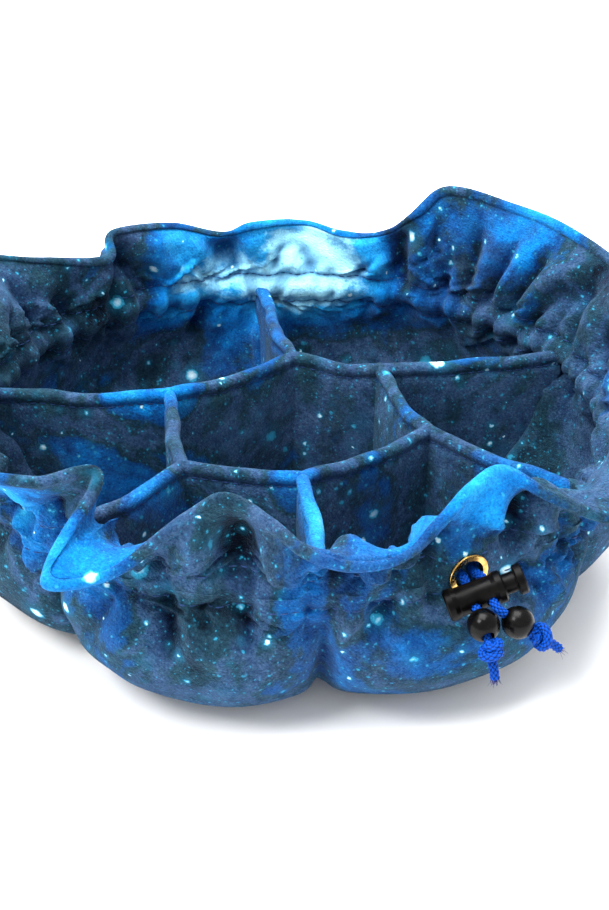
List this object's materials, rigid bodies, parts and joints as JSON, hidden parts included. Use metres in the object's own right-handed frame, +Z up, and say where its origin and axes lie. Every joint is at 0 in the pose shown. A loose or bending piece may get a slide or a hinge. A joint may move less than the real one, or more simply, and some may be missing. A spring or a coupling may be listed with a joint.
{
  "type": "drawstring dice bag",
  "caption": "Round velvet drawstring bag standing open, with a centre pocket and a ring of outer pockets, a brass eyelet, a spring cord lock, beads and knotted cord ends.",
  "frame": {"origin": "on the resting face under the bag's middle", "axes": "+Z up through the open mouth, -Y towards the bag's front; the eyelet is at the front right"},
  "size_m": [0.219, 0.2268, 0.08],
  "materials": {
    "velvet_outside": "matte",
    "velvet_lining": "matte",
    "velvet_pocket_walls": "matte",
    "brass": "polished",
    "blue_cord": "satin",
    "black_plastic": "gloss",
    "spring_steel": "bright"
  },
  "bodies": {
    "bag": {"outer_shell": "velvet_outside", "lining": "velvet_lining", "divider_1": "velvet_pocket_walls", "divider_2": "velvet_pocket_walls", "divider_3": "velvet_pocket_walls", "divider_4": "velvet_pocket_walls", "divider_5": "velvet_pocket_walls", "divider_6": "velvet_pocket_walls", "centre_wall_1": "velvet_pocket_walls", "centre_wall_2": "velvet_pocket_walls", "centre_wall_3": "velvet_pocket_walls", "centre_wall_4": "velvet_pocket_walls", "centre_wall_5": "velvet_pocket_walls", "centre_wall_6": "velvet_pocket_walls", "eyelet": "brass", "eyelet_washer": "brass", "drawstring_run": "blue_cord", "drawstring_tail_left": "blue_cord", "drawstring_tail_right": "blue_cord", "knot_left": "blue_cord", "knot_right": "blue_cord"},
    "cord_lock": {"lock_body": "black_plastic", "lock_spring": "spring_steel"},
    "plunger": {"lock_plunger": "black_plastic"},
    "left_bead": {"bead_left": "black_plastic"},
    "right_bead": {"bead_right": "black_plastic"}
  },
  "joints": [
    {"name": "cord_lock_slide", "type": "slide", "parent": "bag", "child": "cord_lock", "axis": [0.2337, -0.9372, -0.2588], "range_m": [-0.0012, 0]},
    {"name": "plunger_press", "type": "slide", "parent": "cord_lock", "child": "plunger", "axis": [-0.9332, -0.1414, -0.3304], "range_m": [0, 0.0024], "stiffness_N_per_m": 600, "springref_m": -0.003, "deforming": ["lock_spring"]},
    {"name": "bead_left_slide", "type": "slide", "parent": "bag", "child": "left_bead", "axis": [-0.2337, 0.9372, 0.2588], "range_m": [0, 0.0009]},
    {"name": "bead_right_slide", "type": "slide", "parent": "bag", "child": "right_bead", "axis": [-0.8441, 0.1488, 0.515], "range_m": [0, 0.0008]}
  ]
}
